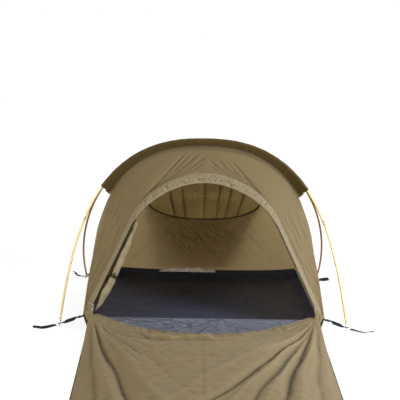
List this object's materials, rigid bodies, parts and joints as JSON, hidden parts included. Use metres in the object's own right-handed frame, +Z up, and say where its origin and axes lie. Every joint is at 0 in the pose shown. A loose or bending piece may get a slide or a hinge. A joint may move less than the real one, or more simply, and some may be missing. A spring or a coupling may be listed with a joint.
{
  "type": "bivvy tent",
  "caption": "One-person hooped bivvy tent: a high head end on two bent poles, an open arched door, a rear vent with a hood, and a low leg section over a bathtub floor.",
  "frame": {"origin": "on the ground under the groundsheet, midway between the four pole feet", "axes": "+X across the tent to the right as seen from its foot end, +Y along the tent towards its head end, +Z up"},
  "size_m": [1.2918, 2.3507, 0.7074],
  "materials": {
    "pole_tube": "gold anodised tube, glossy",
    "pole_fittings": "plain turned aluminium",
    "shock_cord": "braided cover",
    "canopy_cloth": "coated coyote tan plain weave, matt",
    "sleeve_cloth": "darker brown plain weave",
    "insect_net": "fine insect net",
    "groundsheet_cloth": "coated charcoal cloth, slight sheen",
    "sill_cloth": "blue-grey coated cloth, shiny and crinkled",
    "binding_tape": "dark woven tape",
    "black_webbing": "woven webbing, near black",
    "pull_tape": "cream and gold woven tape",
    "black_plastic": "moulded, fine texture",
    "zip_metal": "worn nickel plate",
    "eyelet_metal": "nickelled brass"
  },
  "bodies": {
    "tent": {"front_pole_section_1": "pole_tube", "front_pole_section_2": "pole_tube", "front_pole_section_3": "pole_tube", "front_pole_section_4": "pole_tube", "front_pole_section_5": "pole_tube", "rear_pole_section_1": "pole_tube", "rear_pole_section_2": "pole_tube", "rear_pole_section_3": "pole_tube", "rear_pole_section_4": "pole_tube", "rear_pole_section_5": "pole_tube", "front_pole_ferrule_1": "pole_fittings", "front_pole_ferrule_2": "pole_fittings", "front_pole_ferrule_3": "pole_fittings", "front_pole_ferrule_4": "pole_fittings", "rear_pole_ferrule_1": "pole_fittings", "rear_pole_ferrule_2": "pole_fittings", "rear_pole_ferrule_3": "pole_fittings", "rear_pole_ferrule_4": "pole_fittings", "front_pole_tip_left": "pole_fittings", "front_pole_tip_right": "pole_fittings", "rear_pole_tip_left": "pole_fittings", "rear_pole_tip_right": "pole_fittings", "front_shock_cord": "shock_cord", "rear_shock_cord": "shock_cord", "front_panel": "canopy_cloth", "left_side_panel": "canopy_cloth", "right_side_panel": "canopy_cloth", "rear_wall": "canopy_cloth", "pole_sleeve": "sleeve_cloth", "vent_net": "insect_net", "leg_panel": "canopy_cloth", "groundsheet": "groundsheet_cloth", "entrance_sill": "sill_cloth", "rolled_door": "canopy_cloth", "door_tie": "binding_tape", "door_zip": "binding_tape", "front_left_buckle": "black_plastic", "front_right_buckle": "black_plastic", "rear_left_buckle": "black_plastic", "rear_right_buckle": "black_plastic", "front_left_strap": "black_webbing", "front_right_strap": "black_webbing", "rear_left_strap": "black_webbing", "rear_right_strap": "black_webbing", "front_left_eyelet": "eyelet_metal", "front_right_eyelet": "eyelet_metal", "rear_left_eyelet": "eyelet_metal", "rear_right_eyelet": "eyelet_metal"},
    "hood": {"vent_hood": "canopy_cloth"},
    "left_slider": {"left_zip_slider": "zip_metal"},
    "right_slider": {"right_zip_slider": "zip_metal"},
    "left_pull": {"left_zip_pull": "pull_tape"},
    "right_pull": {"right_zip_pull": "pull_tape"},
    "toggle": {"door_toggle": "black_plastic"},
    "front_left_tail": {"front_left_strap_end": "black_webbing"},
    "front_right_tail": {"front_right_strap_end": "black_webbing"},
    "rear_left_tail": {"rear_left_strap_end": "black_webbing"},
    "rear_right_tail": {"rear_right_strap_end": "black_webbing"},
    "left_loop": {"left_foot_loop": "black_webbing"},
    "right_loop": {"right_foot_loop": "black_webbing"}
  },
  "joints": [
    {"name": "hood_lift", "type": "hinge", "parent": "tent", "child": "hood", "pos_m": [0, 0.03173, 0.612], "axis": [1, 0, 0], "range_deg": [0, 35]},
    {"name": "left_zip_travel", "type": "slide", "parent": "tent", "child": "left_slider", "axis": [0.3824, 0.447, 0.8087], "range_m": [0, 0.34]},
    {"name": "right_zip_travel", "type": "slide", "parent": "tent", "child": "right_slider", "axis": [-0.3824, 0.447, 0.8087], "range_m": [0, 0.34]},
    {"name": "left_pull_swing", "type": "hinge", "parent": "left_slider", "child": "left_pull", "pos_m": [-0.42545, -0.33804, 0.08682], "axis": [-1, 0, 0], "range_deg": [0, 110]},
    {"name": "right_pull_swing", "type": "hinge", "parent": "right_slider", "child": "right_pull", "pos_m": [0.42545, -0.33804, 0.08682], "axis": [-1, 0, 0], "range_deg": [0, 110]},
    {"name": "toggle_turn", "type": "hinge", "parent": "tent", "child": "toggle", "pos_m": [-0.35271, -0.28889, 0.19268], "axis": [0, -0.8752, 0.4837], "range_deg": [-80, 80]},
    {"name": "front_left_tail_lift", "type": "hinge", "parent": "tent", "child": "front_left_tail", "pos_m": [-0.56739, -0.32982, 0.0052], "axis": [-0.515, 0.8572, 0], "range_deg": [0, 90]},
    {"name": "front_right_tail_lift", "type": "hinge", "parent": "tent", "child": "front_right_tail", "pos_m": [0.56739, -0.32982, 0.0052], "axis": [-0.515, -0.8572, 0], "range_deg": [0, 90]},
    {"name": "rear_left_tail_lift", "type": "hinge", "parent": "tent", "child": "rear_left_tail", "pos_m": [-0.56856, 0.32714, 0.0052], "axis": [0.2756, 0.9613, 0], "range_deg": [0, 90]},
    {"name": "rear_right_tail_lift", "type": "hinge", "parent": "tent", "child": "rear_right_tail", "pos_m": [0.56856, 0.32714, 0.0052], "axis": [0.2756, -0.9613, 0], "range_deg": [0, 90]},
    {"name": "left_loop_lift", "type": "hinge", "parent": "tent", "child": "left_loop", "pos_m": [-0.27715, -1.81148, 0.00105], "axis": [-0.8273, 0.5617, 0], "range_deg": [0, 60]},
    {"name": "right_loop_lift", "type": "hinge", "parent": "tent", "child": "right_loop", "pos_m": [0.27715, -1.81148, 0.00105], "axis": [-0.8273, -0.5617, 0], "range_deg": [0, 60]}
  ]
}
